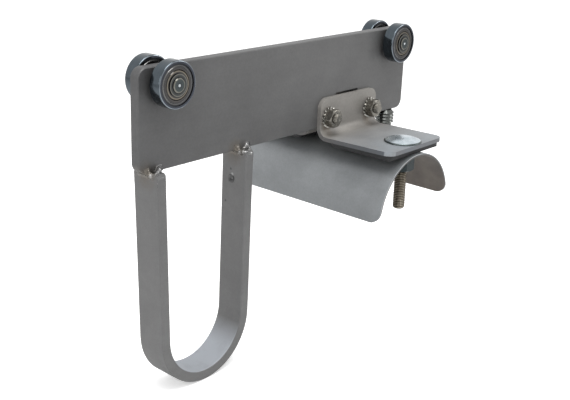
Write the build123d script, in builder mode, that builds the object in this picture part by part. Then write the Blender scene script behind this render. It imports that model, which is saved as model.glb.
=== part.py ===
from build123d import *
from math import cos, radians, sin, sqrt, tan
import os

os.makedirs("parts", exist_ok=True)

# All sizes are in millimetres. X runs along the plate, Y across it and Z up.
# The origin is midway between the two axles, in the plate's middle plane, at the
# height where the wheels touch the rail.

# Carrier plate
plate_length = 370.0
plate_height = 88.0
plate_thickness = 10.0
plate_corner = 9.0
plate_edge_break = 0.8

# Slot behind the brackets: only its upper edge shows above them
slot_length = 36.0
slot_height = 6.0
slot_show = 2.2
slot_corner = 0.8

# Wheels: shielded ball bearings that roll on the rail by their outer rings
wheel_radius = 20.0
wheel_width = 12.0
wheel_gap = 4.0
axle_inset = 28.0
axle_drop = 14.0
bore_radius = 8.5
pitch_radius = 14.3
ball_radius = 3.37
ball_count = 8
ball_clearance = 0.1
outer_land_radius = 16.4
inner_land_radius = 12.2
outer_ring_edge = 1.0
inner_ring_edge = 0.5
shield_seat_radius = 17.2
shield_seat_depth = 1.1
shield_thickness = 0.4
shield_dish = 0.35
shield_bend_radius = 15.4
shield_play = 0.02
shield_clearance = 0.35
cage_width = 8.4
cage_inner_gap = 0.6
cage_outer_gap = 0.7
cage_clearance = 0.15

# Axles: one pin through the plate, peened over at each end
axle_play = 0.02
axle_head_radius = 9.4
axle_head_height = 0.9
axle_boss_radius = 6.4
axle_boss_height = 1.1
axle_boss_chamfer = 0.6
centre_mark_radius = 1.5
centre_mark_depth = 1.2

# Strap: flat bar bent into a long U and welded under the plate
strap_width = 30.0
strap_thickness = 10.0
strap_inset = 10.6
strap_span = 115.0
strap_drop = 210.0
strap_left_lean = 1.5
strap_right_lean = 0.9
strap_edge_break = 0.8
strap_end_bevel = 2.6
pit_radius = 4.3
pit_depth = 2.2
pit_dome_radius = 1.8
pit_drop = 28.7
pit_offset = 2.7

# Weld beads at the strap's two upper ends
bead_leg = 6.0
bead_bulge = 1.0
inside_bead_leg = 6.0
inside_bead_hollow = 1.6

# Angle brackets, one on each face of the plate
bracket_width = 90.0
bracket_reach = 90.0
bracket_rise = 41.0
bracket_drop = 11.0
bracket_sheet = 4.0
bracket_bend = 7.5
flange_lift = 0.9
bracket_corner = 10.0
bracket_inset = 98.4

# Clamping screws that hold both brackets to the plate
clamp_radius = 5.0
clamp_length = 32.0
clamp_spacing = 66.0
clamp_height = 10.8
clamp_head_flats = 17.0
clamp_head_height = 6.4
clamp_nut_flats = 17.0
clamp_nut_height = 8.0
clamp_end_chamfer = 1.0
hole_clearance = 0.5
thread_clearance = 0.05
hex_chamfer_angle = 30.0
lock_washer_radius = 7.6
lock_washer_sheet = 0.9
tooth_reach = 2.8
tooth_root = 0.6
tooth_width = 3.0
tooth_count = 14
tooth_twist = 40.0

# Saddle: a half tube that hangs across under both brackets
saddle_radius = 58.0
saddle_wall = 2.0
saddle_length = 192.0
saddle_corner = 12.0
saddle_short_wall = 5.0
pad_thickness = 4.0
pad_inset = 3.5
pad_corner = 4.0

# Hanger bolts: saucer head on the bracket, washer and nut inside the saddle
hanger_radius = 6.0
hanger_length = 68.0
hanger_inset = 18.5
hanger_head_radius = 18.3
hanger_head_rim = 1.2
hanger_head_height = 4.2
hanger_end_chamfer = 1.4
hanger_washer_radius = 13.0
hanger_washer_thickness = 2.5
hanger_washer_play = 0.02
hanger_nut_flats = 22.0
hanger_nut_height = 13.0

# Ribbed stud under the plate's right end
stud_inset = 22.3
stud_radius = 10.0
stud_collar = 13.2
stud_chamfer = 3.0
stud_rib_count = 3
stud_rib_depth = 1.0
stud_shank_radius = 7.8
stud_shank_chamfer = 1.0
stud_length = 24.0

# Levels and faces that the pieces share
axle_level = wheel_radius
plate_top = axle_level + axle_drop
plate_bottom = plate_top - plate_height
plate_right = plate_length / 2
plate_left = -plate_right
plate_face = plate_thickness / 2
axle_x = plate_right - axle_inset
wheel_y = plate_face + wheel_gap + wheel_width / 2
bracket_x = plate_right - bracket_inset
bracket_bottom = plate_bottom - bracket_drop
bracket_top = bracket_bottom + bracket_rise
bracket_face = plate_face + bracket_sheet
bracket_tip = plate_face + bracket_reach
clamp_level = plate_bottom + clamp_height
hanger_y = bracket_tip - hanger_inset
saddle_crown = bracket_bottom - pad_thickness
saddle_centre = saddle_crown - saddle_radius
saddle_inner = saddle_radius - saddle_wall
strap_left = plate_left + strap_inset
strap_right = strap_left + strap_span
left_tilt = tan(radians(strap_left_lean))
right_tilt = tan(radians(strap_right_lean))
left_cut = strap_thickness / cos(radians(strap_left_lean))
right_cut = strap_thickness / cos(radians(strap_right_lean))

# Each bracket's flange rises a little towards its tip
lift_sin = sin(radians(flange_lift))
lift_cos = cos(radians(flange_lift))
lift_tan = tan(radians(flange_lift))
tooth_span = tooth_width * sin(radians(tooth_twist))
tooth_span += lock_washer_sheet * cos(radians(tooth_twist))

sides = {"front": -1, "rear": 1}
ends = {"left": -1, "right": 1}


def keep(piece, name):
    """Label a finished piece and write its file."""
    piece.part.label = name
    export_step(piece.part, f"parts/{name}.step")


def half_section(base):
    """Sketch plane through a turned piece: X runs outward, Y along the base's normal."""
    return Plane(origin=base.origin, x_dir=base.x_dir, z_dir=-base.y_dir)


def turned(base, *outline):
    """Solid of revolution about the base's normal, from points of radius and height."""
    with BuildPart() as piece:
        with BuildSketch(half_section(base)):
            with BuildLine():
                Polyline(*outline, close=True)
            make_face()
        revolve(axis=Axis(base.origin, base.z_dir))
    return piece


def hexagon(base, flats, height, bore=0.0, foot_chamfer=True):
    """Hexagonal prism that stands on the base, with its corners turned to a cone."""
    corner = flats / sqrt(3)
    cut = corner - flats / 2
    fall = cut * tan(radians(hex_chamfer_angle))
    foot = fall if foot_chamfer else 0.0
    with BuildPart(base) as piece:
        with BuildSketch(base):
            RegularPolygon(radius=flats / 2, side_count=6, major_radius=False)
            if bore:
                Circle(bore, mode=Mode.SUBTRACT)
        extrude(amount=height)
        with BuildSketch(half_section(base)):
            with BuildLine():
                Polyline(
                    (0, 0),
                    (flats / 2, 0),
                    (corner, foot),
                    (corner, height - fall),
                    (flats / 2, height),
                    (0, height),
                    close=True,
                )
            make_face()
        revolve(axis=Axis(base.origin, base.z_dir), mode=Mode.INTERSECT)
    return piece


# Carrier plate: rounded corners, axle holes, bracket holes and slot
with BuildPart() as carrier_plate:
    with BuildSketch(Plane.XZ) as plate_outline:
        with Locations((0, (plate_top + plate_bottom) / 2)):
            Rectangle(plate_length, plate_height)
        fillet(plate_outline.vertices(), plate_corner)
    extrude(amount=plate_face, both=True)
    rims = carrier_plate.faces().filter_by(Axis.Y).edges()
    chamfer(rims, plate_edge_break)
    with BuildSketch(Plane.XZ):
        with Locations((-axle_x, axle_level), (axle_x, axle_level)):
            Circle(bore_radius)
        with Locations((bracket_x, clamp_level)):
            with GridLocations(clamp_spacing, 0, 2, 1):
                Circle(clamp_radius + hole_clearance)
        with Locations((bracket_x, bracket_top + slot_show - slot_height / 2)):
            RectangleRounded(slot_length, slot_height, slot_corner)
    extrude(amount=plate_face, both=True, mode=Mode.SUBTRACT)
keep(carrier_plate, "carrier_plate")

# Strap loop: both legs lean inwards and run into one round bend
bend_radius = strap_span - (left_tilt + right_tilt) * strap_drop
bend_radius /= left_cut / strap_thickness + right_cut / strap_thickness - left_tilt - right_tilt
bend_level = plate_bottom - strap_drop + bend_radius
bend_x = strap_left + left_tilt * (plate_bottom - bend_level)
bend_x += bend_radius * left_cut / strap_thickness


def strap_line(radius, left_end, right_end):
    """Points of one edge of the strap: leg end, start, middle and end of the bend, leg end."""
    left_angle = radians(180 + strap_left_lean)
    right_angle = radians(-strap_right_lean)
    return (
        (left_end, plate_bottom),
        (bend_x + radius * cos(left_angle), bend_level + radius * sin(left_angle)),
        (bend_x, bend_level - radius),
        (bend_x + radius * cos(right_angle), bend_level + radius * sin(right_angle)),
        (right_end, plate_bottom),
    )


with BuildPart() as strap_loop:
    with BuildSketch(Plane.XZ):
        with BuildLine():
            outer = strap_line(bend_radius, strap_left, strap_right)
            inner = strap_line(
                bend_radius - strap_thickness, strap_left + left_cut, strap_right - right_cut
            )
            for edge in (outer, inner):
                Line(edge[0], edge[1])
                ThreePointArc(edge[1], edge[2], edge[3])
                Line(edge[3], edge[4])
            Line(outer[0], inner[0])
            Line(outer[4], inner[4])
        make_face()
    extrude(amount=strap_width / 2, both=True)
    # The upper ends' corners are bevelled beside the plate, where the welds go
    chamfer(strap_loop.edges().filter_by(Axis.X).group_by(Axis.Z)[-1], strap_end_bevel)
    chamfer(strap_loop.faces().filter_by(Axis.Y).edges(), strap_edge_break)
    # Shallow round pit in the right leg's inner face, with a low dome in its middle
    pit_ball = (pit_radius**2 + pit_depth**2) / (2 * pit_depth)
    pit_floor = strap_right - right_cut - right_tilt * pit_drop + pit_depth
    with Locations((pit_floor - pit_ball, pit_offset, plate_bottom - pit_drop)):
        Sphere(pit_ball, rotation=(0, 90, 0), mode=Mode.SUBTRACT)
    with Locations((pit_floor, pit_offset, plate_bottom - pit_drop)):
        Sphere(pit_dome_radius)
keep(strap_loop, "strap_loop")

# Weld beads: two on the ledges beside the plate and one in the corner under it
legs = {
    "left": (strap_left, strap_left + left_cut, left_tilt, 1),
    "right": (strap_right, strap_right - right_cut, right_tilt, -1),
}
for end, (outside, inside, tilt, inward) in legs.items():
    with BuildPart() as weld:
        for side in sides.values():
            root = side * plate_face
            toe = side * (plate_face + bead_leg)
            crown_y = (root + toe) / 2 + side * bead_bulge
            crown_z = plate_bottom + bead_leg / 2 + bead_bulge
            with BuildSketch(Plane.YZ.offset(min(outside, inside))):
                with BuildLine():
                    Line((root, plate_bottom), (toe, plate_bottom))
                    ThreePointArc(
                        (toe, plate_bottom),
                        (crown_y, crown_z),
                        (root, plate_bottom + bead_leg),
                    )
                    Line((root, plate_bottom + bead_leg), (root, plate_bottom))
                make_face()
            extrude(amount=abs(inside - outside))
        low = (inside + inward * tilt * inside_bead_leg, plate_bottom - inside_bead_leg)
        far = (inside + inward * inside_bead_leg, plate_bottom)
        middle = (
            (low[0] + far[0]) / 2 - inward * inside_bead_hollow / sqrt(2),
            (low[1] + far[1]) / 2 + inside_bead_hollow / sqrt(2),
        )
        with BuildSketch(Plane.XZ):
            with BuildLine():
                Line((inside, plate_bottom), low)
                ThreePointArc(low, middle, far)
                Line(far, (inside, plate_bottom))
            make_face()
        extrude(amount=plate_face, both=True)
    keep(weld, f"{end}_leg_weld")

# Axles: the same turned pin at both ends of the plate
axle_radius = bore_radius - axle_play
axle_reach = plate_face + wheel_gap + wheel_width
head_end = axle_reach + axle_head_height
boss_end = head_end + axle_boss_height
axle_side = (
    (axle_radius, axle_reach),
    (axle_head_radius, axle_reach),
    (axle_head_radius, head_end),
    (axle_boss_radius, head_end),
    (axle_boss_radius, boss_end - axle_boss_chamfer),
    (axle_boss_radius - axle_boss_chamfer, boss_end),
    (centre_mark_radius, boss_end),
    (0, boss_end - centre_mark_depth),
)
for end, way in ends.items():
    axle_base = Plane(origin=(way * axle_x, 0, axle_level), x_dir=(1, 0, 0), z_dir=(0, 1, 0))
    mirrored = tuple((radius, -height) for radius, height in reversed(axle_side))
    axle = turned(axle_base, *axle_side, *mirrored)
    keep(axle, f"{end}_axle")

# Bearings: outer ring, inner ring, two shields, balls and cage at each wheel place
half_width = wheel_width / 2
seat_level = half_width - shield_seat_depth
shield_inner = inner_land_radius + shield_clearance
shield_outer = shield_seat_radius - shield_play
shield_lip = shield_bend_radius - shield_dish
cage_inner = inner_land_radius + cage_inner_gap
cage_outer = outer_land_radius - cage_outer_gap
for side_name, side in sides.items():
    for end, way in ends.items():
        place = f"{side_name}_{end}"
        hub = Plane(
            origin=(way * axle_x, side * wheel_y, axle_level),
            x_dir=(1, 0, 0),
            z_dir=(0, side, 0),
        )
        spin = Axis(hub.origin, hub.z_dir)

        with BuildPart() as outer_ring:
            with BuildSketch(half_section(hub)):
                with Locations(((wheel_radius + outer_land_radius) / 2, 0)):
                    body = Rectangle(wheel_radius - outer_land_radius, wheel_width)
                fillet(body.vertices().group_by(Axis.X)[-1], outer_ring_edge)
                seat_width = shield_seat_radius - outer_land_radius
                seat_middle = (shield_seat_radius + outer_land_radius) / 2
                seat_height = half_width - shield_seat_depth / 2
                with Locations((seat_middle, seat_height), (seat_middle, -seat_height)):
                    Rectangle(seat_width, shield_seat_depth, mode=Mode.SUBTRACT)
                with Locations((pitch_radius, 0)):
                    Circle(ball_radius + ball_clearance, mode=Mode.SUBTRACT)
            revolve(axis=spin)
        keep(outer_ring, f"{place}_outer_ring")

        with BuildPart() as inner_ring:
            with BuildSketch(half_section(hub)):
                with Locations(((bore_radius + inner_land_radius) / 2, 0)):
                    core = Rectangle(inner_land_radius - bore_radius, wheel_width)
                chamfer(core.vertices(), inner_ring_edge)
                with Locations((pitch_radius, 0)):
                    Circle(ball_radius + ball_clearance, mode=Mode.SUBTRACT)
            revolve(axis=spin)
        keep(inner_ring, f"{place}_inner_ring")

        for face, facing in {"outer": 1, "inner": -1}.items():
            low = facing * seat_level
            high = facing * (seat_level + shield_thickness)
            dish = facing * shield_dish
            shield = turned(
                hub,
                (shield_outer, low),
                (shield_outer, high),
                (shield_bend_radius, high),
                (shield_lip, high + dish),
                (shield_inner, high + dish),
                (shield_inner, low + dish),
                (shield_lip, low + dish),
                (shield_bend_radius, low),
            )
            keep(shield, f"{place}_{face}_shield")

        with BuildPart(hub) as balls:
            with PolarLocations(pitch_radius, ball_count):
                Sphere(ball_radius)
        keep(balls, f"{place}_balls")

        with BuildPart(hub) as cage:
            with BuildSketch(hub):
                Circle(cage_outer)
                Circle(cage_inner, mode=Mode.SUBTRACT)
            extrude(amount=cage_width / 2, both=True)
            # Each ball's pocket is drilled straight through the wall
            with PolarLocations(pitch_radius, ball_count):
                Cylinder(
                    ball_radius + cage_clearance,
                    2 * (cage_outer - cage_inner),
                    rotation=(0, 90, 0),
                    mode=Mode.SUBTRACT,
                )
        keep(cage, f"{place}_cage")

        gap_base = Plane(
            origin=(way * axle_x, side * plate_face, axle_level),
            x_dir=(1, 0, 0),
            z_dir=(0, side, 0),
        )
        spacer = turned(
            gap_base,
            (bore_radius, 0),
            (inner_land_radius, 0),
            (inner_land_radius, wheel_gap),
            (bore_radius, wheel_gap),
        )
        keep(spacer, f"{place}_spacer")

# Brackets, pads and hanger bolts: the same set in front of the plate and behind it
def flange_under(y):
    """Level of a flange's underside at a distance from the plate's middle plane."""
    return bracket_bottom + (y - plate_face) * lift_tan


def flange_over(y):
    """Level of a flange's upper face at a distance from the plate's middle plane."""
    return flange_under(y) + bracket_sheet / lift_cos


def hanger_plane(side, distance=0.0):
    """Plane across a hanger bolt, facing up, at a distance below the flange's upper face."""
    return Plane(
        origin=(
            bracket_x,
            side * (hanger_y + distance * lift_sin),
            flange_over(hanger_y) - distance * lift_cos,
        ),
        x_dir=(1, 0, 0),
        z_dir=(0, -side * lift_sin, lift_cos),
    )


for side_name, side in sides.items():
    heel = (side * plate_face, bracket_bottom)
    throat = (side * bracket_face, flange_over(bracket_face))
    tip = (side * (plate_face + bracket_reach * lift_cos), bracket_bottom + bracket_reach * lift_sin)
    with BuildPart() as bracket:
        with BuildSketch(Plane.YZ.offset(bracket_x - bracket_width / 2)) as angle:
            with BuildLine():
                Polyline(
                    (side * plate_face, bracket_top),
                    heel,
                    tip,
                    (tip[0] - side * bracket_sheet * lift_sin, tip[1] + bracket_sheet * lift_cos),
                    throat,
                    (side * bracket_face, bracket_top),
                    close=True,
                )
            make_face()
            fillet(angle.vertices().sort_by_distance(heel)[0], bracket_bend + bracket_sheet)
            fillet(angle.vertices().sort_by_distance(throat)[0], bracket_bend)
        extrude(amount=bracket_width)
        top_corners = bracket.edges().filter_by(Axis.Y).group_by(Axis.Z)[-1]
        tip_face = bracket.faces().sort_by(Axis.Y)[0 if side < 0 else -1]
        fillet(top_corners, bracket_corner)
        fillet(tip_face.edges().filter_by(Axis.X, reverse=True), bracket_corner)
        clamp_plane = Plane(origin=(bracket_x, 0, clamp_level), x_dir=(1, 0, 0), z_dir=(0, 1, 0))
        with Locations(clamp_plane):
            with GridLocations(clamp_spacing, 0, 2, 1):
                Hole(clamp_radius + hole_clearance)
        with Locations(hanger_plane(side)):
            Hole(hanger_radius + hole_clearance)
    keep(bracket, f"{side_name}_bracket")

    # The pad fills the wedge between the level saddle and the rising flange
    pad_start = bracket_face + bracket_bend + pad_inset
    pad_end = bracket_tip - pad_inset
    with BuildPart() as pad:
        with BuildSketch(Plane.YZ.offset(bracket_x - bracket_width / 2)):
            with BuildLine():
                Polyline(
                    (side * pad_start, saddle_crown),
                    (side * pad_end, saddle_crown),
                    (side * pad_end, flange_under(pad_end)),
                    (side * pad_start, flange_under(pad_start)),
                    close=True,
                )
            make_face()
        extrude(amount=bracket_width)
        with BuildSketch(Plane.XY.offset(saddle_crown)):
            with Locations((bracket_x, side * (pad_start + pad_end) / 2)):
                RectangleRounded(bracket_width - 2 * pad_inset, pad_end - pad_start, pad_corner)
        extrude(amount=flange_under(pad_end) - saddle_crown, mode=Mode.INTERSECT)
        with Locations(hanger_plane(side)):
            Hole(hanger_radius + hole_clearance)
    keep(pad, f"{side_name}_pad")

    bolt_base = hanger_plane(side)
    with BuildPart() as hanger_bolt:
        with BuildSketch(half_section(bolt_base)):
            with BuildLine():
                TangentArc(
                    (0, hanger_head_height),
                    (hanger_head_radius, hanger_head_rim),
                    tangent=(1, 0),
                )
                Polyline(
                    (hanger_head_radius, hanger_head_rim),
                    (hanger_head_radius, 0),
                    (hanger_radius, 0),
                    (hanger_radius, hanger_end_chamfer - hanger_length),
                    (hanger_radius - hanger_end_chamfer, -hanger_length),
                    (0, -hanger_length),
                    (0, hanger_head_height),
                )
            make_face()
        revolve(axis=Axis(bolt_base.origin, bolt_base.z_dir))
    keep(hanger_bolt, f"{side_name}_hanger_bolt")

    # The flat washer touches the curved wall by two places on its rim
    washer_top = saddle_centre + sqrt(saddle_inner**2 - hanger_washer_radius**2)
    washer_drop = (flange_over(hanger_y) - washer_top) / lift_cos + hanger_washer_play
    under_washer = hanger_plane(side, washer_drop)
    washer_base = Plane(origin=under_washer.origin, x_dir=(1, 0, 0), z_dir=-under_washer.z_dir)
    hanger_washer = turned(
        washer_base,
        (hanger_radius + hole_clearance, 0),
        (hanger_washer_radius, 0),
        (hanger_washer_radius, hanger_washer_thickness),
        (hanger_radius + hole_clearance, hanger_washer_thickness),
    )
    keep(hanger_washer, f"{side_name}_hanger_washer")

    nut_base = washer_base.offset(hanger_washer_thickness)
    hanger_nut = hexagon(
        nut_base, hanger_nut_flats, hanger_nut_height, hanger_radius + thread_clearance
    )
    keep(hanger_nut, f"{side_name}_hanger_nut")

# Clamping screws: head behind the rear bracket, toothed washer and nut in front
for end, way in ends.items():
    clamp_x = bracket_x + way * clamp_spacing / 2
    head_base = Plane(
        origin=(clamp_x, bracket_face, clamp_level), x_dir=(1, 0, 0), z_dir=(0, 1, 0)
    )
    clamp_head = hexagon(head_base, clamp_head_flats, clamp_head_height, foot_chamfer=False)
    clamp_shank = turned(
        head_base,
        (0, 0),
        (clamp_radius, 0),
        (clamp_radius, clamp_end_chamfer - clamp_length),
        (clamp_radius - clamp_end_chamfer, -clamp_length),
        (0, -clamp_length),
    )
    with BuildPart() as clamp_bolt:
        add(clamp_head.part)
        add(clamp_shank.part)
    keep(clamp_bolt, f"{end}_clamp_bolt")

    washer_plane = Plane(
        origin=(clamp_x, -bracket_face, clamp_level), x_dir=(1, 0, 0), z_dir=(0, -1, 0)
    )
    with BuildPart(washer_plane.offset(tooth_span / 2)) as lock_washer:
        Cylinder(lock_washer_radius, lock_washer_sheet)
        tooth_middle = lock_washer_radius + (tooth_reach - tooth_root) / 2
        with PolarLocations(tooth_middle, tooth_count):
            Box(
                tooth_reach + tooth_root,
                tooth_width,
                lock_washer_sheet,
                rotation=(tooth_twist, 0, 0),
            )
        Hole(clamp_radius + hole_clearance)
    keep(lock_washer, f"{end}_lock_washer")

    clamp_nut = hexagon(
        washer_plane.offset(tooth_span),
        clamp_nut_flats,
        clamp_nut_height,
        clamp_radius + thread_clearance,
    )
    keep(clamp_nut, f"{end}_clamp_nut")

# Saddle: half tube with one wall shorter, rounded corners and a hole for each hanger bolt
with BuildPart() as saddle:
    with BuildSketch(Plane.XZ):
        with Locations((bracket_x, saddle_centre)):
            Circle(saddle_radius)
            Circle(saddle_inner, mode=Mode.SUBTRACT)
        with Locations((bracket_x, saddle_centre - saddle_radius / 2)):
            Rectangle(2 * saddle_radius, saddle_radius, mode=Mode.SUBTRACT)
        with Locations((bracket_x + saddle_radius / 2, saddle_centre)):
            Rectangle(saddle_radius, 2 * saddle_short_wall, mode=Mode.SUBTRACT)
    extrude(amount=saddle_length / 2, both=True)
    # Both walls' lower corners are rounded by cutting away what lies outside the rounding
    for wall_start, wall_foot in (
        (bracket_x - saddle_radius, saddle_centre),
        (bracket_x, saddle_centre + saddle_short_wall),
    ):
        with BuildSketch(Plane.YZ.offset(wall_start)):
            with Locations((0, wall_foot + saddle_corner / 2)):
                Rectangle(saddle_length, saddle_corner)
            with Locations((0, wall_foot + 1.5 * saddle_corner)):
                RectangleRounded(saddle_length, 3 * saddle_corner, saddle_corner, mode=Mode.SUBTRACT)
        extrude(amount=saddle_radius, mode=Mode.SUBTRACT)
    with Locations(hanger_plane(sides["front"]), hanger_plane(sides["rear"])):
        Hole(hanger_radius + hole_clearance)
keep(saddle, "saddle")

# Ribbed stud: hangs from the plate's lower edge near its right end
stud_base = Plane(
    origin=(plate_right - stud_inset, 0, plate_bottom), x_dir=(1, 0, 0), z_dir=(0, 0, -1)
)
rib_pitch = (stud_collar - stud_chamfer) / stud_rib_count
rib_line = []
for rib in range(stud_rib_count):
    rib_start = stud_chamfer + rib * rib_pitch
    rib_line.append((stud_radius, rib_start))
    rib_line.append((stud_radius - stud_rib_depth, rib_start + rib_pitch / 2))
end_stud = turned(
    stud_base,
    (0, 0),
    (stud_radius - stud_chamfer, 0),
    *rib_line,
    (stud_radius, stud_collar),
    (stud_shank_radius, stud_collar),
    (stud_shank_radius, stud_length - stud_shank_chamfer),
    (stud_shank_radius - stud_shank_chamfer, stud_length),
    (0, stud_length),
)
keep(end_stud, "end_stud")
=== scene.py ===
import bmesh
import bpy
import math
import numpy as np
from mathutils import Matrix, Vector


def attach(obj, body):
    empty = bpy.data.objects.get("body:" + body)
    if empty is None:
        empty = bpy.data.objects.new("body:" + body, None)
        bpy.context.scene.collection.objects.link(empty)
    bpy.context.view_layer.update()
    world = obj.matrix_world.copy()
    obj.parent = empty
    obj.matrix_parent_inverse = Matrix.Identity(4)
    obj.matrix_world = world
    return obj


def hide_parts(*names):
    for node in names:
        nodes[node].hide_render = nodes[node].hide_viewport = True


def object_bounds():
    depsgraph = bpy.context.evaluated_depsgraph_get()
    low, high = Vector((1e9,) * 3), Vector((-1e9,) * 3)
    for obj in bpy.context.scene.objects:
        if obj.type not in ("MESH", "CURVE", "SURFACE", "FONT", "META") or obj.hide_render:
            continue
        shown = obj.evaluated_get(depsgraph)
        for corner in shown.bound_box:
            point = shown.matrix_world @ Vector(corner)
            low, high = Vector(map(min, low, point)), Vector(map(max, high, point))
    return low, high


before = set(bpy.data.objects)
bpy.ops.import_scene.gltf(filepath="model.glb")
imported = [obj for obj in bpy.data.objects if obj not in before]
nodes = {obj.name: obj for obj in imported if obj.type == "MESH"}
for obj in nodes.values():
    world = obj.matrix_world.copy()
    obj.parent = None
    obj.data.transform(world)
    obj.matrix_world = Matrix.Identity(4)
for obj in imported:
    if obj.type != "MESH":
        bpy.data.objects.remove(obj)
cad_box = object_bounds()
scene = bpy.context.scene
MM = 0.001

# ---------------------------------------------------------------- camera
yaw, pitch, roll = 0.8603, 0.3345, 0.0381
ahead = Vector((math.sin(yaw) * math.cos(pitch), math.cos(yaw) * math.cos(pitch), -math.sin(pitch)))
flat_right = Vector((math.cos(yaw), -math.sin(yaw), 0))
flat_up = flat_right.cross(ahead)
cam_right = math.cos(roll) * flat_right + math.sin(roll) * flat_up
cam_up = -math.sin(roll) * flat_right + math.cos(roll) * flat_up
camera_data = bpy.data.cameras.new("camera")
camera_data.sensor_width = 36
camera_data.lens = 949.57 / 570 * 36
camera_data.clip_start = 0.02
camera_data.clip_end = 50
camera = bpy.data.objects.new("camera", camera_data)
scene.collection.objects.link(camera)
turn = Matrix((cam_right, cam_up, -ahead)).transposed().to_4x4()
camera.matrix_world = Matrix.Translation((-0.66342, -0.57380, 0.18533)) @ turn
scene.camera = camera
scene.view_settings.view_transform = "Standard"


# ---------------------------------------------------------------- materials
def srgb(r, g, b):
    """Linear colour from 0-255 display values."""
    out = []
    for c in (r, g, b):
        c /= 255
        out.append(c / 12.92 if c <= 0.04045 else ((c + 0.055) / 1.055) ** 2.4)
    return (*out, 1.0)


class Nodes:
    """Short way to build a node material."""

    def __init__(self, name):
        self.material = bpy.data.materials.new(name)
        self.material.use_nodes = True
        self.tree = self.material.node_tree
        self.shader = self.tree.nodes["Principled BSDF"]
        self.coords = self.add("ShaderNodeTexCoord").outputs["Object"]

    def add(self, kind, **values):
        node = self.tree.nodes.new(kind)
        for key, value in values.items():
            if hasattr(node, key):
                setattr(node, key, value)
            else:
                node.inputs[key.replace("_", " ").title() if key not in node.inputs else key].default_value = value
        return node

    def link(self, source, target):
        self.tree.links.new(source, target)

    def math(self, operation, a, b=None, c=None):
        node = self.tree.nodes.new("ShaderNodeMath")
        node.operation = operation
        for socket, value in zip(node.inputs, (a, b, c)):
            if value is None:
                continue
            if isinstance(value, (int, float)):
                socket.default_value = value
            else:
                self.link(value, socket)
        return node.outputs[0]

    def noise(self, scale, detail=3.0, roughness=0.55, vector=None, stretch=None):
        vector = vector or self.coords
        if stretch:
            mapping = self.tree.nodes.new("ShaderNodeMapping")
            mapping.inputs["Scale"].default_value = stretch
            self.link(vector, mapping.inputs["Vector"])
            vector = mapping.outputs[0]
        node = self.tree.nodes.new("ShaderNodeTexNoise")
        node.inputs["Scale"].default_value = scale
        node.inputs["Detail"].default_value = detail
        node.inputs["Roughness"].default_value = roughness
        self.link(vector, node.inputs["Vector"])
        return node.outputs["Fac"]

    def ramp(self, fac, *stops):
        node = self.tree.nodes.new("ShaderNodeValToRGB")
        ramp = node.color_ramp
        while len(ramp.elements) < len(stops):
            ramp.elements.new(0.5)
        for element, (position, colour) in zip(ramp.elements, stops):
            element.position = position
            element.color = colour if len(colour) == 4 else (*colour, 1)
        self.link(fac, node.inputs["Fac"])
        return node.outputs["Color"]

    def mix(self, fac, a, b, blend="MIX"):
        node = self.tree.nodes.new("ShaderNodeMix")
        node.data_type = "RGBA"
        node.blend_type = blend
        for socket, value in ((node.inputs["Factor"], fac), (node.inputs["A"], a), (node.inputs["B"], b)):
            pass
        sockets = [s for s in node.inputs if s.enabled]
        for socket, value in zip(sockets, (fac, a, b)):
            if isinstance(value, (int, float)):
                socket.default_value = value
            elif isinstance(value, tuple):
                socket.default_value = value
            else:
                self.link(value, socket)
        return [s for s in node.outputs if s.enabled][0]

    def spread(self, value, low, high, out_low=0.0, out_high=1.0):
        node = self.tree.nodes.new("ShaderNodeMapRange")
        node.clamp = True
        node.inputs["From Min"].default_value = low
        node.inputs["From Max"].default_value = high
        node.inputs["To Min"].default_value = out_low
        node.inputs["To Max"].default_value = out_high
        self.link(value, node.inputs["Value"])
        return node.outputs["Result"]

    def near(self, point, inner, outer):
        """1 within inner metres of a point, falling to 0 at outer."""
        gap = self.tree.nodes.new("ShaderNodeVectorMath")
        gap.operation = "DISTANCE"
        gap.inputs[1].default_value = point
        self.link(self.coords, gap.inputs[0])
        return self.spread(gap.outputs["Value"], inner, outer, 1.0, 0.0)

    def from_axis(self, origin, axis):
        """Distance from a line, in metres."""
        gap = self.add("ShaderNodeVectorMath", operation="SUBTRACT")
        gap.inputs[1].default_value = origin
        self.link(self.coords, gap.inputs[0])
        cross = self.add("ShaderNodeVectorMath", operation="CROSS_PRODUCT")
        cross.inputs[1].default_value = Vector(axis).normalized()
        self.link(gap.outputs[0], cross.inputs[0])
        length = self.add("ShaderNodeVectorMath", operation="LENGTH")
        self.link(cross.outputs[0], length.inputs[0])
        return length.outputs["Value"]

    def bump(self, height, distance, strength=1.0, under=None):
        node = self.tree.nodes.new("ShaderNodeBump")
        node.inputs["Strength"].default_value = strength
        node.inputs["Distance"].default_value = distance
        self.link(height, node.inputs["Height"])
        if under is not None:
            self.link(under, node.inputs["Normal"])
        return node.outputs["Normal"]

    def set(self, **values):
        names = {
            "color": "Base Color", "metallic": "Metallic", "roughness": "Roughness",
            "normal": "Normal", "specular": "Specular IOR Level", "coat": "Coat Weight",
            "coat_roughness": "Coat Roughness",
        }
        for key, value in values.items():
            socket = self.shader.inputs[names[key]]
            if isinstance(value, (int, float, tuple)):
                socket.default_value = value
            else:
                self.link(value, socket)
        return self.material


def grey(level, warm=0.0):
    """Linear colour from a display level, a little warm or cool."""
    return srgb(level * (1 + warm), level, level * (1 - warm))


def scaled(color, factor):
    return tuple(min(1.0, c * factor) for c in color[:3])


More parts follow.
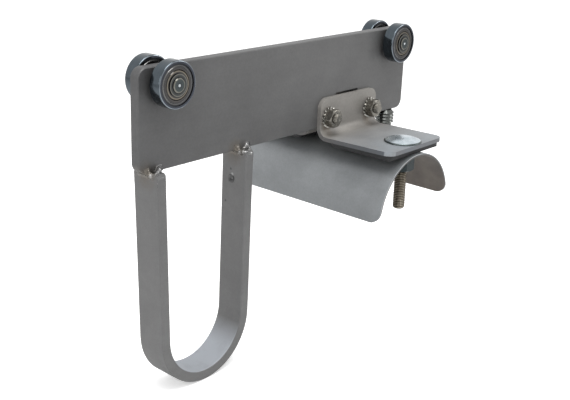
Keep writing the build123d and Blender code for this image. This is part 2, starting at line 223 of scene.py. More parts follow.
def blasted(name, base, contrast=0.06, roughness=0.5, grain=0.35, marks=(), metallic=0.45, change=None):
    """Bead-blasted stainless steel: fine even grain, faint clouds and streaks, and marks at given places."""
    m = Nodes(name)
    clouds = m.noise(26, 3, 0.55)
    streaks = m.noise(90, 3, 0.6, stretch=(0.25, 1, 1.6))
    fine = m.noise(2400, 2, 0.5)
    speck = m.noise(520, 3, 0.6)
    color = m.ramp(clouds, (0.3, scaled(base, 1 - contrast * 1.7)), (0.7, scaled(base, 1 + contrast * 1.7)))
    color = m.mix(0.5, color, m.ramp(streaks, (0.3, (0.93,) * 3), (0.7, (1.07,) * 3)), "MULTIPLY")
    color = m.mix(0.5, color, m.ramp(speck, (0.35, (0.9,) * 3), (0.65, (1.08,) * 3)), "MULTIPLY")
    for point, inner, outer, tint, amount in marks:
        patch = m.near(point, inner, outer)
        ragged = m.math("MULTIPLY", patch, m.spread(m.noise(240, 4, 0.65), 0.3, 0.6, 0.35, 1.0))
        color = m.mix(m.math("MULTIPLY", ragged, amount), color, tint)
    if change:
        color = change(m, color)
    rough = m.spread(clouds, 0.3, 0.7, roughness - 0.05, roughness + 0.06)
    height = m.math("ADD", m.math("MULTIPLY", fine, 0.5), m.math("MULTIPLY", speck, 0.5))
    return m.set(color=color, metallic=metallic, roughness=rough, normal=m.bump(height, 0.00005, grain))


def turned_metal(name, centre, zones, roughness=0.14, bump=0.35, metallic=1.0):
    """Ground or turned metal with fine rings about a wheel's axis, which runs along Y. zones are radius and colour;
    besides the metal's tones they paint highlight rings and dark reflection bands.
    """
    m = Nodes(name)
    shift = m.tree.nodes.new("ShaderNodeVectorMath")
    shift.operation = "SUBTRACT"
    shift.inputs[1].default_value = centre
    m.link(m.coords, shift.inputs[0])
    split = m.tree.nodes.new("ShaderNodeSeparateXYZ")
    m.link(shift.outputs[0], split.inputs[0])
    x, y, z = split.outputs
    radius = m.math("SQRT", m.math("ADD", m.math("MULTIPLY", x, x), m.math("MULTIPLY", z, z)))
    line = m.tree.nodes.new("ShaderNodeCombineXYZ")
    m.link(radius, line.inputs[0])
    m.link(y, line.inputs[1])
    fine = m.noise(3600, 2, 0.5, vector=line.outputs[0])
    wide = m.noise(900, 3, 0.6, vector=line.outputs[0])
    clouds = m.noise(120, 3, 0.6)
    span = 0.0202
    color = m.ramp(m.math("DIVIDE", radius, span), *((r * MM / span, c) for r, c in zones))
    color = m.mix(0.7, color, m.ramp(wide, (0.32, (0.78,) * 3), (0.68, (1.2,) * 3)), "MULTIPLY")
    color = m.mix(0.6, color, m.ramp(clouds, (0.3, (0.8,) * 3), (0.7, (1.12,) * 3)), "MULTIPLY")
    rough = m.spread(clouds, 0.3, 0.7, roughness - 0.03, roughness + 0.07)
    return m.set(color=color, metallic=metallic, roughness=rough, normal=m.bump(fine, 0.00002, bump))


def plated(name, base, roughness=0.2, mottled=0.12, metallic=1.0, bump=0.4, marks=(), soft=320):
    """Plated or plain fastener steel, a little uneven, with marks at given places."""
    m = Nodes(name)
    clouds = m.noise(soft, 4, 0.6)
    fine = m.noise(3000, 2, 0.6)
    color = m.ramp(clouds, (0.3, scaled(base, 1 - mottled * 1.8)), (0.7, scaled(base, 1 + mottled * 1.4)))
    for point, inner, outer, tint, amount in marks:
        patch = m.near(point, inner, outer)
        color = m.mix(m.math("MULTIPLY", patch, amount), color, tint)
    rough = m.spread(clouds, 0.3, 0.7, roughness - 0.05, roughness + 0.1)
    return m.set(color=color, metallic=metallic, roughness=rough, normal=m.bump(fine, 0.00003, bump))


# Places that the materials and the detail pieces share, from the solids, in millimetres
PLATE_FACE, PLATE_LOW = 5.0, -54.0
BRACKET_X, CLAMP_SPACING, CLAMP_Z = 86.6, 66.0, -43.2
LIFT = math.radians(0.9)
HANGER_Y = 76.5
FLANGE_Z = -65.0 + (HANGER_Y - PLATE_FACE) * math.tan(LIFT) + 4.0 / math.cos(LIFT)
AXLE_X, AXLE_Z = 157.0, 20.0
PLATE_LEVEL, STRAP_LEVEL, BRACKET_LEVEL, SADDLE_LEVEL = 98, 103, 136, 132
HEAT = srgb(96, 88, 76)
# Painted shade for weld hollows and pits, and a painted highlight colour for weld ridges and lumps.
HOLLOW_SHADE = srgb(40, 40, 42)
PAINTED_HIGHLIGHT = srgb(236, 236, 236)
NUT_BROWN = srgb(104, 88, 66)


def spot(x, y, z, inner, outer, tint, amount):
    return ((x * MM, y * MM, z * MM), inner * MM, outer * MM, tint, amount)


def split_coords(m):
    split = m.tree.nodes.new("ShaderNodeSeparateXYZ")
    m.link(m.coords, split.inputs[0])
    return split.outputs


def painted_shade_left(m, color):
    """Painted shade: the plate's colour is darkened towards its left end."""
    share = m.spread(split_coords(m)[0], -0.17, 0.0, 1.0, 0.0)
    return m.mix(share, color, m.mix(1.0, color, (0.76, 0.76, 0.77, 1), "MULTIPLY"))


def saddle_sides(m, color):
    """The tube's inside is darker and browner than its outside, and its cut edges carry a painted highlight along their
    outer rim.
    """
    x, y, z = split_coords(m)
    dx = m.math("SUBTRACT", x, BRACKET_X * MM)
    dz = m.math("SUBTRACT", z, SADDLE_Z * MM)
    radius = m.math("SQRT", m.math("ADD", m.math("MULTIPLY", dx, dx), m.math("MULTIPLY", dz, dz)))
    inside = m.spread(radius, (SADDLE_R - 2.0 + 0.1) * MM, (SADDLE_R - 2.0 + 0.3) * MM, 1.0, 0.0)
    browner_inside = m.ramp(m.noise(60, 4, 0.6), (0.3, srgb(84, 79, 75)), (0.7, srgb(104, 98, 92)))
    color = m.mix(inside, color, browner_inside)
    # Painted highlight: a bright line along the outer rim of each cut end, over a darker cut face.
    cut_edge_tone_and_highlight = m.ramp(m.spread(radius, (SADDLE_R - 2.0) * MM, SADDLE_R * MM),
                  (0.0, srgb(90, 88, 86)), (0.62, srgb(84, 84, 84)), (0.8, srgb(176, 180, 182)))
    end = m.spread(m.math("ABSOLUTE", y), (SADDLE_HALF - 0.15) * MM, (SADDLE_HALF - 0.05) * MM)
    return m.mix(end, color, cut_edge_tone_and_highlight)


def painted_light_bend(m, color):
    """Painted light: the lower part of the loop's inner bend, which faces up, is painted brighter."""
    x, y, z = split_coords(m)
    radius = m.from_axis((BEND[0] * MM, 0, BEND[1] * MM), (0, 1, 0))
    inner = m.spread(radius, (BEND_INNER + 0.2) * MM, (BEND_INNER + 0.6) * MM, 1.0, 0.0)
    low = m.spread(z, (BEND[1] - 34) * MM, (BEND[1] - 12) * MM, 1.0, 0.0)
    ragged = m.spread(m.noise(70, 3, 0.5), 0.2, 0.5, 0.75, 1.0)
    return m.mix(m.math("MULTIPLY", m.math("MULTIPLY", inner, low), ragged), color, srgb(158, 162, 168))


def painted_shade_edges_and_tints(m, color):
    """Painted shade: the bracket sheet's cut edges are painted darker than its faces, most along the flange."""
    x, y, z = split_coords(m)
    across = m.math("ABSOLUTE", m.math("SUBTRACT", x, BRACKET_X * MM))
    side_edge = m.spread(across, (BRACKET_HALF - 0.25) * MM, (BRACKET_HALF - 0.1) * MM)
    side_edge = m.math("MULTIPLY", side_edge, m.spread(z, -56 * MM, -50 * MM, 1.0, 0.25))
    tip = m.spread(m.math("ABSOLUTE", y), (BRACKET_TIP - 0.35) * MM, (BRACKET_TIP - 0.15) * MM)
    color = m.mix(m.math("MULTIPLY", side_edge, 0.85), color, srgb(72, 73, 76))
    color = m.mix(m.math("MULTIPLY", tip, 0.8), color, srgb(98, 97, 99))
    # Bluish towards the tip, faintly brown by the bend
    cool = m.spread(m.math("ABSOLUTE", y), 30 * MM, 85 * MM)
    cool = m.math("MULTIPLY", cool, m.spread(m.noise(45, 3, 0.6), 0.35, 0.6, 0.5, 1.0))
    color = m.mix(cool, color, m.mix(1.0, color, (0.97, 1.06, 1.14, 1), "MULTIPLY"))
    warm = m.spread(m.math("ABSOLUTE", y), 12 * MM, 34 * MM, 1.0, 0.0)
    return m.mix(warm, color, m.mix(1.0, color, (1.05, 1.0, 0.93, 1), "MULTIPLY"))


SADDLE_Z, SADDLE_R, SADDLE_HALF = -127.0, 58.0, 96.0
BEND, BEND_INNER = (-116.08, -209.78), 44.22
BRACKET_HALF, BRACKET_TIP = 45.0, 95.0
heat_marks = []
for leg_x in (-174.4, -69.4):
    heat_marks.append(spot(leg_x, 0, -57, 3, 15, HEAT, 0.6))
    heat_marks.append(spot(leg_x - 5, -5, -51, 2, 11, HEAT, 0.5))
plate_steel = blasted("plate_blasted_steel", grey(PLATE_LEVEL), change=painted_shade_left, marks=[
    *heat_marks,
    # Painted shade on the plate beside each weld crater.
    spot(-172, -5, -50, 1, 6, HOLLOW_SHADE, 0.35),
    spot(-64, -5, -50, 1, 6, HOLLOW_SHADE, 0.35),
])
strap_steel = blasted("strap_blasted_steel", grey(STRAP_LEVEL), change=painted_light_bend, marks=[
    *heat_marks,
    # Painted shade in small pits on the strap's inner face, and one painted glint beside them.
    spot(-69.3, 3.6, -73.6, 0.5, 1.6, HOLLOW_SHADE, 0.9),
    spot(-69.8, 9.2, -105.4, 0.4, 1.7, HOLLOW_SHADE, 0.95),
    spot(-68, 4.6, -84.7, 1.0, 3.4, HOLLOW_SHADE, 0.85),
    spot(-69.2, 1.6, -78.4, 0.4, 2.0, srgb(190, 190, 190), 0.8),
])
# Brown patches on the bracket beside and below each clamp nut.
bracket_marks = []
for bolt_x in (BRACKET_X - CLAMP_SPACING / 2, BRACKET_X + CLAMP_SPACING / 2):
    bracket_marks.append(spot(bolt_x - 3, -9, -51, 2, 9, NUT_BROWN, 0.5))
    bracket_marks.append(spot(bolt_x - 2, -12, -57, 1, 9, NUT_BROWN, 0.4))
bracket_steel = blasted("bracket_blasted_steel", grey(BRACKET_LEVEL), contrast=0.07, metallic=0.3, change=painted_shade_edges_and_tints, marks=bracket_marks)
saddle_steel = blasted("saddle_blasted_steel", srgb(SADDLE_LEVEL - 3, SADDLE_LEVEL, SADDLE_LEVEL + 2), contrast=0.05, grain=0.25, metallic=0.4, roughness=0.46, change=saddle_sides)
dark_zinc = plated("dark_zinc", srgb(44, 52, 54), 0.3, 0.14, metallic=0.7)
bright_steel = plated("bright_fastener_steel", srgb(126, 123, 116), 0.2, 0.22, metallic=0.9)
# Painted highlight: the toothed washers' steel is made much lighter than the nuts' steel.
tooth_steel_painted_bright = plated("tooth_steel_painted_bright", srgb(192, 190, 184), 0.2, 0.2, metallic=0.8)
stud_steel = plated("stud_steel", srgb(92, 94, 92), 0.22, 0.18)

rubber = Nodes("pad_rubber")
rubber_black = rubber.set(
    color=rubber.ramp(rubber.noise(90, 3), (0.3, srgb(16, 17, 18)), (0.7, srgb(30, 31, 33))),
    metallic=0.0,
    roughness=0.62,
    normal=rubber.bump(rubber.noise(900, 4, 0.6), 0.0001, 0.5),
)


def paint(node, material):
    data = nodes[node].data
    data.materials.clear()
    data.materials.append(material)


# ---------------------------------------------------------------- mesh helpers
def piece(name, vertices, faces, material, body="root", stands_for=(), sharp=35, group=None):
    """Mesh object from points in millimetres. It rides on a body and may stand for CAD nodes."""
    data = bpy.data.meshes.new(name)
    data.from_pydata([Vector(v) * MM for v in vertices], [], faces)
    data.validate()
    work = bmesh.new()
    work.from_mesh(data)
    bmesh.ops.remove_doubles(work, verts=work.verts, dist=1e-7)
    bmesh.ops.recalc_face_normals(work, faces=work.faces)
    work.to_mesh(data)
    work.free()
    data.shade_smooth()
    data.set_sharp_from_angle(angle=math.radians(sharp))
    data.materials.append(material)
    obj = bpy.data.objects.new(name, data)
    scene.collection.objects.link(obj)
    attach(obj, body)
    if stands_for:
        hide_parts(*stands_for)
    return obj


def axis_frame(origin, axis):
    """Matrix that takes a local point, whose Z is the axis, to its place."""
    z = Vector(axis).normalized()
    x = Vector((1, 0, 0))
    y = z.cross(x).normalized()
    turn = Matrix((x, y, z)).transposed().to_4x4()
    return Matrix.Translation(origin) @ turn


def rings(frame_matrix, rows, count):
    """Points and faces of a closed surface through rows of rings. A row is (radius or function of angle, height)."""
    points, faces = [], []
    for radius, height in rows:
        for i in range(count):
            angle = 2 * math.pi * i / count
            r = radius(angle) if callable(radius) else radius
            h = height(angle) if callable(height) else height
            points.append(frame_matrix @ Vector((r * math.cos(angle), r * math.sin(angle), h)))
    for j in range(len(rows) - 1):
        for i in range(count):
            k = (i + 1) % count
            faces.append((j * count + i, j * count + k, (j + 1) * count + k, (j + 1) * count + i))
    return points, faces


def threaded(frame_matrix, radius, pitch, start, end, chamfer, count=48, steps=8, depth=0.58, flat_start=0.0):
    """Points and faces of a threaded rod from start down to end, with a chamfered end."""
    rows = []
    total = max(2, int((start - end) / pitch * steps))
    for j in range(total + 1):
        height = start + (end - start) * j / total

        def radial(angle, height=height):
            phase = (height / pitch - angle / (2 * math.pi)) % 1.0
            wave = abs(2 * phase - 1)
            wave = min(1.0, max(0.0, (wave - 0.1) / 0.78))
            cut = depth * pitch * wave
            if flat_start and start - height < flat_start:
                cut *= max(0.0, (start - height) / flat_start)
            return min(radius - cut, radius - chamfer + (height - end))

        rows.append((radial, height))
    rows.append((0.0, end))
    rows.insert(0, (0.0, start))
    return rings(frame_matrix, rows, count)


def joined(*parts):
    points, faces = [], []
    for more_points, more_faces in parts:
        shift = len(points)
        points += more_points
        faces += [tuple(i + shift for i in face) for face in more_faces]
    return points, faces


def hex_radius(flats, round_off=0.25):
    """Radius of a hexagon at an angle, with its corners a little rounded."""
    def radial(angle):
        folded = (angle + math.pi / 6) % (math.pi / 3) - math.pi / 6
        return min(flats / 2 / math.cos(math.pi / 6 - abs(folded)), flats / math.sqrt(3) - round_off)
    return radial


def hex_rows(flats, low, high, chamfer_low=True, bore=0.0):
    """Rows of a hexagonal nut or head whose corners are turned to a cone."""
    edge = hex_radius(flats)
    inner = flats / 2 * 0.95
    slope = math.tan(math.radians(30))
    rows = [(bore, low)]
    if chamfer_low:
        rows += [(inner, low), (edge, lambda a: low + (edge(a) - inner) * slope)]
    else:
        rows += [(edge, low)]
    rows += [(edge, lambda a: high - (edge(a) - inner) * slope), (inner, high), (bore, high)]
    if bore:
        rows.append((bore, low))
    return rows


def saucer_material(name, origin, axis, rim_radius):
    """Bluish zinc on a saucer head, with a dark line round its rim."""
    m = Nodes(name)
    radius = m.from_axis(Vector(origin) * MM, axis)
    clouds = m.noise(110, 3, 0.5)
    color = m.ramp(clouds, (0.3, srgb(176, 187, 194)), (0.7, srgb(206, 215, 220)))
    rim = m.spread(radius, (rim_radius - 1.3) * MM, (rim_radius - 0.7) * MM)
    color = m.mix(rim, color, srgb(84, 92, 92))
    return m.set(color=color, metallic=0.85, roughness=0.24, normal=m.bump(m.noise(1500, 2), 0.00002, 0.2))


def thread_material(name, origin, axis, radius, depth, crest_highlight, root):
    """Thread with bright crests and dark roots: painted highlights on the crests, painted shade with dirt in the roots.
    """
    m = Nodes(name)
    share = m.spread(m.from_axis(Vector(origin) * MM, axis), (radius - depth) * MM, radius * MM)
    color = m.ramp(share, (0.0, root), (0.45, scaled(crest_highlight, 0.55)), (0.85, crest_highlight))
    dirt = m.noise(300, 4, 0.6)
    color = m.mix(0.6, color, m.ramp(dirt, (0.3, (0.72, 0.7, 0.66)), (0.65, (1.1, 1.1, 1.1))), "MULTIPLY")
    return m.set(color=color, metallic=0.65, roughness=0.3, normal=m.bump(dirt, 0.00003, 0.3))


# ---------------------------------------------------------------- hanger bolts
for side, way in (("front", -1), ("rear", 1)):
    origin, lean_axis = (BRACKET_X, way * HANGER_Y, FLANGE_Z), (0, -way * math.sin(LIFT), math.cos(LIFT))
    seat = axis_frame(origin, lean_axis)
    rim_radius, rim, height = 18.3, 1.2, 5.4
    bow = (rim_radius**2 + (height - rim) ** 2) / (2 * (height - rim))
    dome = [(0.0, height)]
    for i in range(1, 15):
        r = (rim_radius - 0.35) * i / 14
        dome.append((r, height - bow + math.sqrt(bow * bow - r * r)))
    dome += [(rim_radius - 0.08, rim - 0.25), (rim_radius, rim - 0.45), (rim_radius, 0.15),
             (rim_radius - 0.2, 0.0), (5.4, 0.0), (5.4, -1.0), (0.0, -1.0)]
    head = rings(seat, dome, 96)
    bright_zinc = saucer_material(f"{side}_bright_zinc", origin, lean_axis, rim_radius)
    thread_steel = thread_material(f"{side}_thread_steel", origin, lean_axis, 6.0, 0.95, srgb(168, 160, 146), srgb(52, 46, 38))
    piece(f"{side}_hanger_bolt_head", *head, bright_zinc, stands_for=(f"{side}_hanger_bolt",), sharp=40, group="zinc_plate")
    rod = threaded(seat, 6.0, 1.75, -0.5, -68.0, 1.4, count=48, steps=8)
    piece(f"{side}_hanger_bolt_thread", *rod, thread_steel, stands_for=(f"{side}_hanger_bolt",), sharp=60, group="zinc_plate")
    paint(f"{side}_hanger_nut", dark_zinc)
    paint(f"{side}_hanger_washer", dark_zinc)
    paint(f"{side}_pad", rubber_black)
    paint(f"{side}_bracket", bracket_steel)

# ---------------------------------------------------------------- clamping screws
FACE_Y = PLATE_FACE + 4.0
TOOTH_SPAN = 3.0 * math.sin(math.radians(40)) + 0.9 * math.cos(math.radians(40))
for end, bolt_x in (("left", BRACKET_X - CLAMP_SPACING / 2), ("right", BRACKET_X + CLAMP_SPACING / 2)):
    base = axis_frame((bolt_x, FACE_Y, CLAMP_Z), (0, 1, 0))
    head = rings(base, hex_rows(17.0, 0.0, 6.4, chamfer_low=False), 120)
    shank = threaded(base, 5.0, 1.5, 0.2, -32.0, 1.0, count=48, steps=8)
    piece(f"{end}_clamp_screw", *joined(head, shank), bright_steel, stands_for=(f"{end}_clamp_bolt",), sharp=28, group="fastener_steel")
    face = axis_frame((bolt_x, -FACE_Y, CLAMP_Z), (0, -1, 0))
    nut = rings(face, hex_rows(17.0, TOOTH_SPAN, TOOTH_SPAN + 8.0, bore=5.05), 120)
    piece(f"{end}_clamp_hex_nut", *nut, bright_steel, stands_for=(f"{end}_clamp_nut",), sharp=28, group="fastener_steel")
    # Toothed washer: a flat ring with twisted, slightly pointed teeth
    middle = TOOTH_SPAN / 2
    ring = rings(face, [(5.5, middle - 0.45), (7.6, middle - 0.45), (7.6, middle + 0.45), (5.5, middle + 0.45), (5.5, middle - 0.45)], 96)
    teeth = []
    for i in range(14):
        angle = 2 * math.pi * i / 14
        out = Vector((math.cos(angle), math.sin(angle), 0))
        along = Vector((-math.sin(angle), math.cos(angle), 0))
        points, faces = [], []
        for step in range(7):
            share = step / 6
            twist = math.radians(40) * min(1.0, share * 1.6 + 0.35)
            wide = (1.5 - 0.25 * share) * (0.86 if step == 6 else 1)
            thick = 0.45 * (0.8 if step == 6 else 1)
            across = along * math.cos(twist) + Vector((0, 0, 1)) * math.sin(twist)
            flat = -along * math.sin(twist) + Vector((0, 0, 1)) * math.cos(twist)
            spine = out * (7.0 + 3.38 * share) + Vector((0, 0, middle))
            for u, w in ((-1, -1), (1, -1), (1, 1), (-1, 1)):
                points.append(face @ (spine + across * wide * u + flat * thick * w))
            if step:
                for k in range(4):
                    n = (k + 1) % 4
                    faces.append((step * 4 - 4 + k, step * 4 - 4 + n, step * 4 + n, step * 4 + k))
        faces += [(3, 2, 1, 0), (24, 25, 26, 27)]
        teeth.append((points, faces))
    piece(f"{end}_toothed_washer", *joined(ring, *teeth), tooth_steel_painted_bright, stands_for=(f"{end}_lock_washer",), sharp=30, group="fastener_steel")

# ---------------------------------------------------------------- painted CAD nodes
paint("carrier_plate", plate_steel)
paint("strap_loop", strap_steel)
paint("saddle", saddle_steel)
paint("end_stud", stud_steel)
# Painted light in the zone colours: bright rings are painted highlights on chamfers and edges, the bright axle centre
# is a painted glint, and the darkest bands are painted reflection and shade. The rest are the metal's own tones.
DARK_RING_REFLECTION = srgb(78, 85, 89)
EDGE_RING_HIGHLIGHT = srgb(172, 181, 187)
SHIELD = srgb(88, 91, 93)
ring_tone_and_light_zones = (
    (8.6, srgb(58, 58, 58)), (10.6, srgb(78, 77, 76)), (11.3, srgb(142, 134, 120)), (11.9, srgb(64, 63, 62)),
    (16.5, srgb(160, 168, 174)), (17.1, srgb(54, 57, 60)), (18.9, srgb(74, 77, 86)), (19.35, srgb(150, 158, 164)),
    (19.8, srgb(84, 92, 98)),
)
shield_tone_and_light_zones = (
    (12.3, srgb(34, 35, 36)), (12.9, srgb(82, 80, 78)), (14.9, srgb(74, 74, 76)), (15.3, srgb(120, 120, 118)),
    (15.9, srgb(80, 80, 82)), (16.8, srgb(46, 48, 50)),
)
axle_tone_and_glint_zones = (
    (0.8, srgb(205, 210, 212)), (1.5, srgb(66, 72, 74)), (4.8, srgb(76, 82, 82)), (5.8, srgb(132, 130, 122)),
    (6.4, srgb(54, 56, 56)), (8.4, srgb(80, 82, 82)), (9.0, srgb(128, 126, 118)), (9.4, srgb(60, 62, 64)),
)
for end, x in (("left", -AXLE_X), ("right", AXLE_X)):
    paint(f"{end}_axle", turned_metal(f"{end}_axle_steel", (x * MM, 0, AXLE_Z * MM), axle_tone_and_glint_zones, 0.2, 0.5))
    for side, y in (("front", -15.0), ("rear", 15.0)):
        centre = (x * MM, y * MM, AXLE_Z * MM)
        ring = turned_metal(f"{side}_{end}_ring_steel", centre, ring_tone_and_light_zones, 0.12)
        plain = turned_metal(f"{side}_{end}_shield_steel", centre, shield_tone_and_light_zones, 0.24)
        for part in ("outer_ring", "inner_ring"):
            paint(f"{side}_{end}_{part}", ring)
        for part in ("outer_shield", "inner_shield", "balls", "cage", "spacer"):
            paint(f"{side}_{end}_{part}", plain)


# ---------------------------------------------------------------- welds
def surface_net(field, low, high, cell):
    """Closed surface where the field is zero, found cell by cell. Points are averages of each cell's edge crossings."""
    counts = [max(3, int((high[i] - low[i]) / cell) + 1) for i in range(3)]
    axes = [np.linspace(low[i], low[i] + (counts[i] - 1) * cell, counts[i]) for i in range(3)]
    gx, gy, gz = np.meshgrid(*axes, indexing="ij")
    value = field(gx, gy, gz)
    for axis in range(3):
        for edge in (0, -1):
            index = [slice(None)] * 3
            index[axis] = edge
            value[tuple(index)] = np.maximum(value[tuple(index)], 0.05)
    inside = value < 0
    corner = [(i, j, k) for i in (0, 1) for j in (0, 1) for k in (0, 1)]
    cells = tuple(c - 1 for c in counts)
    number = np.full(cells, -1, int)
    block = [inside[i:i + cells[0], j:j + cells[1], k:k + cells[2]] for i, j, k in corner]
    filled = sum(b.astype(int) for b in block)
    mixed = np.argwhere((filled > 0) & (filled < 8))
    points = []
    for n, (i, j, k) in enumerate(mixed):
        number[i, j, k] = n
        total, hits = np.zeros(3), 0
        for a in range(8):
            for b in range(a + 1, 8):
                ca, cb = corner[a], corner[b]
                if sum(abs(p - q) for p, q in zip(ca, cb)) != 1:
                    continue
                va = value[i + ca[0], j + ca[1], k + ca[2]]
                vb = value[i + cb[0], j + cb[1], k + cb[2]]
                if (va < 0) != (vb < 0):
                    share = va / (va - vb)
                    total += np.array(ca) + share * (np.array(cb) - np.array(ca))
                    hits += 1
        points.append(tuple(low + cell * (np.array((i, j, k)) + total / hits)))
    faces = []
    for axis in range(3):
        u, v = [a for a in range(3) if a != axis]
        first = [slice(None)] * 3
        second = [slice(None)] * 3
        first[axis], second[axis] = slice(0, -1), slice(1, None)
        for cross in np.argwhere(inside[tuple(first)] != inside[tuple(second)]):
            if cross[u] == 0 or cross[v] == 0:
                continue
            loop = []
            for du, dv in ((0, 0), (-1, 0), (-1, -1), (0, -1)):
                at = cross.copy()
                at[u] += du
                at[v] += dv
                if any(at[q] >= cells[q] for q in range(3)):
                    break
                loop.append(number[tuple(at)])
            if len(loop) == 4 and min(loop) >= 0:
                faces.append(tuple(int(q) for q in loop))
    return points, faces


def smooth_min(a, b, reach):
    mix = np.maximum(reach - np.abs(a - b), 0.0) / reach
    return np.minimum(a, b) - mix * mix * reach / 4


def ripple(x, y, z, seed):
    return (
        np.sin(x * 1.3 + seed) * np.cos(y * 1.1 - seed) + np.sin(z * 1.7 + y * 0.9 + seed * 2)
        + 0.6 * np.sin(x * 2.9 - z * 2.3 + seed) * np.cos(y * 3.1 + seed)
    )


def plate_field(x, y, z):
    dx = np.abs(x) - (185.0 - 9.0)
    dz = np.abs(z + 10.0) - (44.0 - 9.0)
    flat = np.hypot(np.maximum(dx, 0), np.maximum(dz, 0)) + np.minimum(np.maximum(dx, dz), 0) - 9.0
    return np.maximum(flat, np.abs(y) - PLATE_FACE)


def leg_field(x, y, z, outside, inside, lean, way):
    shift = way * math.tan(math.radians(lean)) * (PLATE_LOW - z)
    d = np.maximum(way * (outside + shift - x), way * (x - inside - shift)) * math.cos(math.radians(lean))
    d = np.maximum(d, np.abs(y) - 15.0)
    d = np.maximum(d, z - PLATE_LOW)
    return np.maximum(d, (np.abs(y) - 15.0 + z - PLATE_LOW + 2.6) / math.sqrt(2))


def ball(x, y, z, centre, radii):
    q = np.sqrt(sum(((v - c) / r) ** 2 for v, c, r in zip((x, y, z), centre, radii)))
    return (q - 1) * min(radii)


def capsule(x, y, z, start, stop, radius):
    start, stop = np.array(start), np.array(stop)
    along = stop - start
    share = sum((v - a) * d for v, a, d in zip((x, y, z), start, along)) / float(along @ along)
    share = np.clip(share, 0, 1)
    return np.sqrt(sum((v - a - share * d) ** 2 for v, a, d in zip((x, y, z), start, along))) - radius


WELDS = {
    "left": {
        "outside": -174.4, "inside": -164.4, "lean": 1.5, "way": 1, "seed": 0.7,
        "ridges": (((-163.4, -5.4, -51.2), (-166.8, -8.4, -51.4), 2.0), ((-166.8, -8.4, -51.4), (-172.4, -11.6, -53.4), 2.0)),
        "lumps": (((-174.2, -7.7, -55.3), (2.3, 2.5, 2.3)), ((-169, 7.6, -53), (6.0, 4.4, 3.6))),
        "craters": (((-170.6, -6.6, -50.6), (3.4, 3.2, 3.0)),),
    },
    "right": {
        "outside": -59.4, "inside": -69.4, "lean": 0.9, "way": -1, "seed": 2.1,
        "ridges": (((-69.0, -10.4, -55.0), (-66.8, -13.9, -55.1), 1.5), ((-66.8, -13.9, -55.1), (-61.6, -14.4, -56.3), 1.4),
                   ((-59.0, -5.4, -51.6), (-60.6, -10.4, -53.4), 1.9)),
        "lumps": (((-69.3, -7.5, -55.4), (2.2, 2.5, 2.2)), ((-64, 7.6, -53), (6.0, 4.4, 3.6))),
        "craters": (((-64.4, -7.2, -50.8), (3.8, 3.4, 3.2)),),
    },
}
for end, w in WELDS.items():
    def field(x, y, z):
        leg = leg_field(x, y, z, w["outside"], w["inside"], w["lean"], w["way"])
        shape = smooth_min(plate_field(x, y, z), leg, 7.5)
        for centre, radii in w["lumps"]:
            shape = smooth_min(shape, ball(x, y, z, centre, radii), 2.2)
        for start, stop, radius in w["ridges"]:
            shape = smooth_min(shape, capsule(x, y, z, start, stop, radius), 1.6)
        for centre, radii in w["craters"]:
            shape = -smooth_min(-shape, ball(x, y, z, centre, radii), 1.0)
        return shape + 0.18 + 0.03 * ripple(x, y, z, w["seed"])

    low = np.array((min(w["outside"], w["inside"]) - 9.0, -17.0, -66.0))
    high = np.array((max(w["outside"], w["inside"]) + 9.0, 17.0, -42.0))
    points, faces = surface_net(field, low, high, 0.5)
    face_x = min(w["outside"], w["inside"])
    marks = [spot(face_x, 0, -57, 3, 15, HEAT, 0.6), spot(face_x - 5, -5, -51, 2, 11, HEAT, 0.5)]
    # Painted shade in each crater, and painted highlights along the ridges and on the first lump.
    for centre, radii in w["craters"]:
        marks.append(spot(centre[0], centre[1] - 1.0, centre[2] - 1.5, 1.6, 3.8, HOLLOW_SHADE, 0.9))
    for start, stop, radius in w["ridges"]:
        for share in (0.2, 0.7):
            middle = [a + (b - a) * share for a, b in zip(start, stop)]
            marks.append(spot(*middle, radius * 0.5, radius * 1.35, PAINTED_HIGHLIGHT, 0.6))
    marks.append(spot(*w["lumps"][0][0], 1.4, 2.7, PAINTED_HIGHLIGHT, 0.85))
    weld = plated(f"{end}_weld_metal", grey(104), 0.24, 0.14, metallic=0.7, marks=marks)
    piece(f"{end}_weld_bead", points, faces, weld, stands_for=(f"{end}_leg_weld",), sharp=70, group="weld_metal")

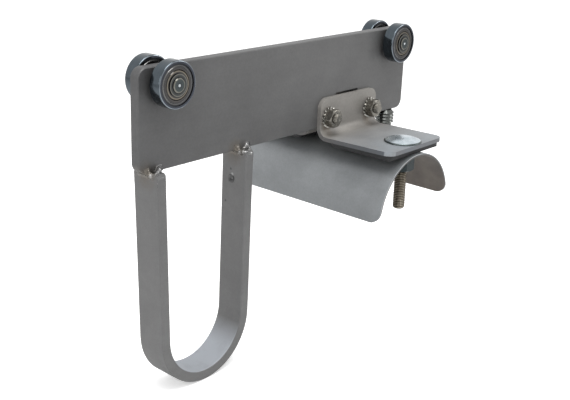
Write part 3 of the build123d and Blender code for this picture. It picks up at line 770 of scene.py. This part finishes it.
# ---------------------------------------------------------------- floor and light
floor_data = bpy.data.meshes.new("floor")
size = 6.0
floor_z = cad_box[0].z - 0.0002
floor_data.from_pydata(
    [(-size, -size, floor_z), (size, -size, floor_z), (size, size, floor_z), (-size, size, floor_z)],
    [], [(0, 1, 2, 3)],
)
floor = bpy.data.objects.new("floor", floor_data)
scene.collection.objects.link(floor)
floor_material = Nodes("pale_floor")
floor_material.set(color=(0.94, 0.94, 0.94, 1), roughness=0.9, specular=0.1)
floor_material.shader.inputs["Emission Color"].default_value = (1, 1, 1, 1)
floor_path = floor_material.tree.nodes.new("ShaderNodeLightPath")
lift_light = floor_material.math("MULTIPLY", floor_path.outputs["Is Camera Ray"], 0.42)
floor_material.link(lift_light, floor_material.shader.inputs["Emission Strength"])
floor_data.materials.append(floor_material.material)

world = bpy.data.worlds.new("studio")
scene.world = world
world.use_nodes = True
tree = world.node_tree
background = tree.nodes["Background"]
background.inputs["Color"].default_value = (1, 1, 1, 1)
path = tree.nodes.new("ShaderNodeLightPath")
seen = tree.nodes.new("ShaderNodeMath")
seen.operation = "MAXIMUM"
tree.links.new(path.outputs["Is Camera Ray"], seen.inputs[0])
tree.links.new(path.outputs["Is Glossy Ray"], seen.inputs[1])
both = tree.nodes.new("ShaderNodeMath")
both.operation = "MAXIMUM"
tree.links.new(seen.outputs[0], both.inputs[0])
tree.links.new(path.outputs["Is Transmission Ray"], both.inputs[1])
level = tree.nodes.new("ShaderNodeMapRange")
level.inputs["To Min"].default_value = 0.66
level.inputs["To Max"].default_value = 1.0
tree.links.new(both.outputs[0], level.inputs["Value"])
tree.links.new(level.outputs["Result"], background.inputs["Strength"])


def lamp(name, place, aim, width, power):
    data = bpy.data.lights.new(name, "AREA")
    data.shape = "SQUARE"
    data.size = width
    data.energy = power
    obj = bpy.data.objects.new(name, data)
    scene.collection.objects.link(obj)
    obj.location = place
    obj.rotation_euler = (Vector(aim) - Vector(place)).to_track_quat("-Z", "Y").to_euler()


lamp("overhead", (-0.25, -0.4, 1.5), (0.02, 0, -0.05), 1.1, 24)
lamp("left_fill", (-1.4, 0.1, 0.5), (0, 0, -0.05), 0.8, 5)
lamp("right_glint", (1.25, -1.05, 0.62), (0.05, 0, -0.05), 0.45, 3.5)
